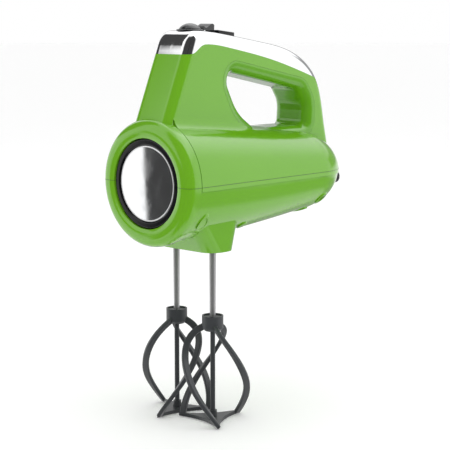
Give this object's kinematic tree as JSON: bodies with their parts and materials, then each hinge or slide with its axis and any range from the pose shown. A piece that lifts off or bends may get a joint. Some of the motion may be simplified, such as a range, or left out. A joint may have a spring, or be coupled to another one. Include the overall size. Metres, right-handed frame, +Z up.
{
  "type": "hand mixer",
  "caption": "Hand-held electric mixer with a motor barrel, a D-shaped handle on top and counter-rotating whisk beaters below.",
  "frame": {"origin": "centre of the hand grip in the handle bar, midway between its sides", "axes": "-X to the nose, +X to the heel, +Z up from the beaters to the handle, -Y the user's left"},
  "size_m": [0.1868, 0.0885, 0.28],
  "materials": {
    "green_shell": "gloss lime green moulding",
    "green_grip": "gloss lime green, a little darker",
    "bright_trim": "mirror bright",
    "gloss_black": "gloss black",
    "dark_grey": "satin dark grey",
    "beater_nylon": "satin charcoal nylon",
    "steel": "brushed",
    "soft_black": "matt",
    "cast_metal": "as cast",
    "bronze": "sintered",
    "lamination": "stacked sheet",
    "copper_wire": "varnished copper",
    "carbon": "matt",
    "inner_plastic": "satin",
    "gear_plastic": "satin off-white",
    "board": "laminate"
  },
  "bodies": {
    "housing": {"upper_housing": "green_shell", "lower_housing": "green_shell", "handle_trim": "bright_trim", "grip_liner": "green_grip", "nose_ring": "gloss_black", "nose_badge": "bright_trim", "housing_screws": "steel", "cord_gland": "soft_black", "heel_pads": "soft_black", "gear_frame": "cast_metal", "gear_cover": "cast_metal", "spindle_bushes": "bronze", "front_bearing": "bronze", "rear_bearing": "bronze", "rear_bracket": "cast_metal", "motor_bolts": "steel", "stator_core": "lamination", "field_coils": "copper_wire", "brush_holders": "bronze", "carbon_brushes": "carbon", "brush_springs": "steel", "eject_guide": "inner_plastic", "eject_spring": "steel", "boost_switch": "inner_plastic", "boost_spring": "steel", "speed_board": "board", "speed_contacts": "bronze", "terminal_block": "inner_plastic"},
    "rotor": {"motor_shaft": "steel", "rotor_core": "lamination", "rotor_windings": "copper_wire", "commutator": "copper_wire", "cooling_fan": "inner_plastic"},
    "spindle_left": {"worm_wheel_left": "gear_plastic", "spindle_left": "steel", "spindle_clip_left": "steel"},
    "spindle_right": {"worm_wheel_right": "gear_plastic", "spindle_right": "steel", "spindle_clip_right": "steel"},
    "beater_left": {"beater_shaft_left": "steel", "beater_cage_left": "beater_nylon"},
    "beater_right": {"beater_shaft_right": "steel", "beater_cage_right": "beater_nylon"},
    "speed_selector": {"speed_lever": "dark_grey", "selector_drum": "inner_plastic"},
    "eject": {"eject_button": "dark_grey", "eject_rod": "inner_plastic"},
    "boost": {"boost_button": "gloss_black"}
  },
  "joints": [
    {"name": "rotor_spin", "type": "hinge", "parent": "housing", "child": "rotor", "pos_m": [0.002, 0, -0.081], "axis": [1, 0, 0], "continuous": true},
    {"name": "spindle_left_spin", "type": "hinge", "parent": "housing", "child": "spindle_left", "pos_m": [-0.058, -0.018, -0.081], "axis": [0, 0, 1], "continuous": true},
    {"name": "spindle_right_spin", "type": "hinge", "parent": "housing", "child": "spindle_right", "pos_m": [-0.058, 0.018, -0.081], "axis": [0, 0, 1], "continuous": true},
    {"name": "beater_left_slide", "type": "slide", "parent": "spindle_left", "child": "beater_left", "axis": [0, 0, -1], "range_m": [0, 0.05]},
    {"name": "beater_right_slide", "type": "slide", "parent": "spindle_right", "child": "beater_right", "axis": [0, 0, -1], "range_m": [0, 0.05]},
    {"name": "speed_lever_turn", "type": "hinge", "parent": "housing", "child": "speed_selector", "pos_m": [-0.0615, 0, 0.019], "axis": [0, 0, 1], "range_deg": [0, 50]},
    {"name": "eject_press", "type": "slide", "parent": "housing", "child": "eject", "axis": [0, 0, -1], "range_m": [0, 0.005], "stiffness_N_per_m": 600, "springref_m": -0.004, "deforming": ["eject_spring"]},
    {"name": "boost_press", "type": "slide", "parent": "housing", "child": "boost", "axis": [0, 0, -1], "range_m": [0, 0.002], "stiffness_N_per_m": 500, "springref_m": -0.003, "deforming": ["boost_spring"]}
  ],
  "couplings": [
    {"joint": "spindle_left_spin", "follows": "rotor_spin", "ratio": 0.041667},
    {"joint": "spindle_right_spin", "follows": "rotor_spin", "ratio": -0.041667},
    {"joint": "beater_right_slide", "follows": "beater_left_slide", "ratio": 1}
  ]
}
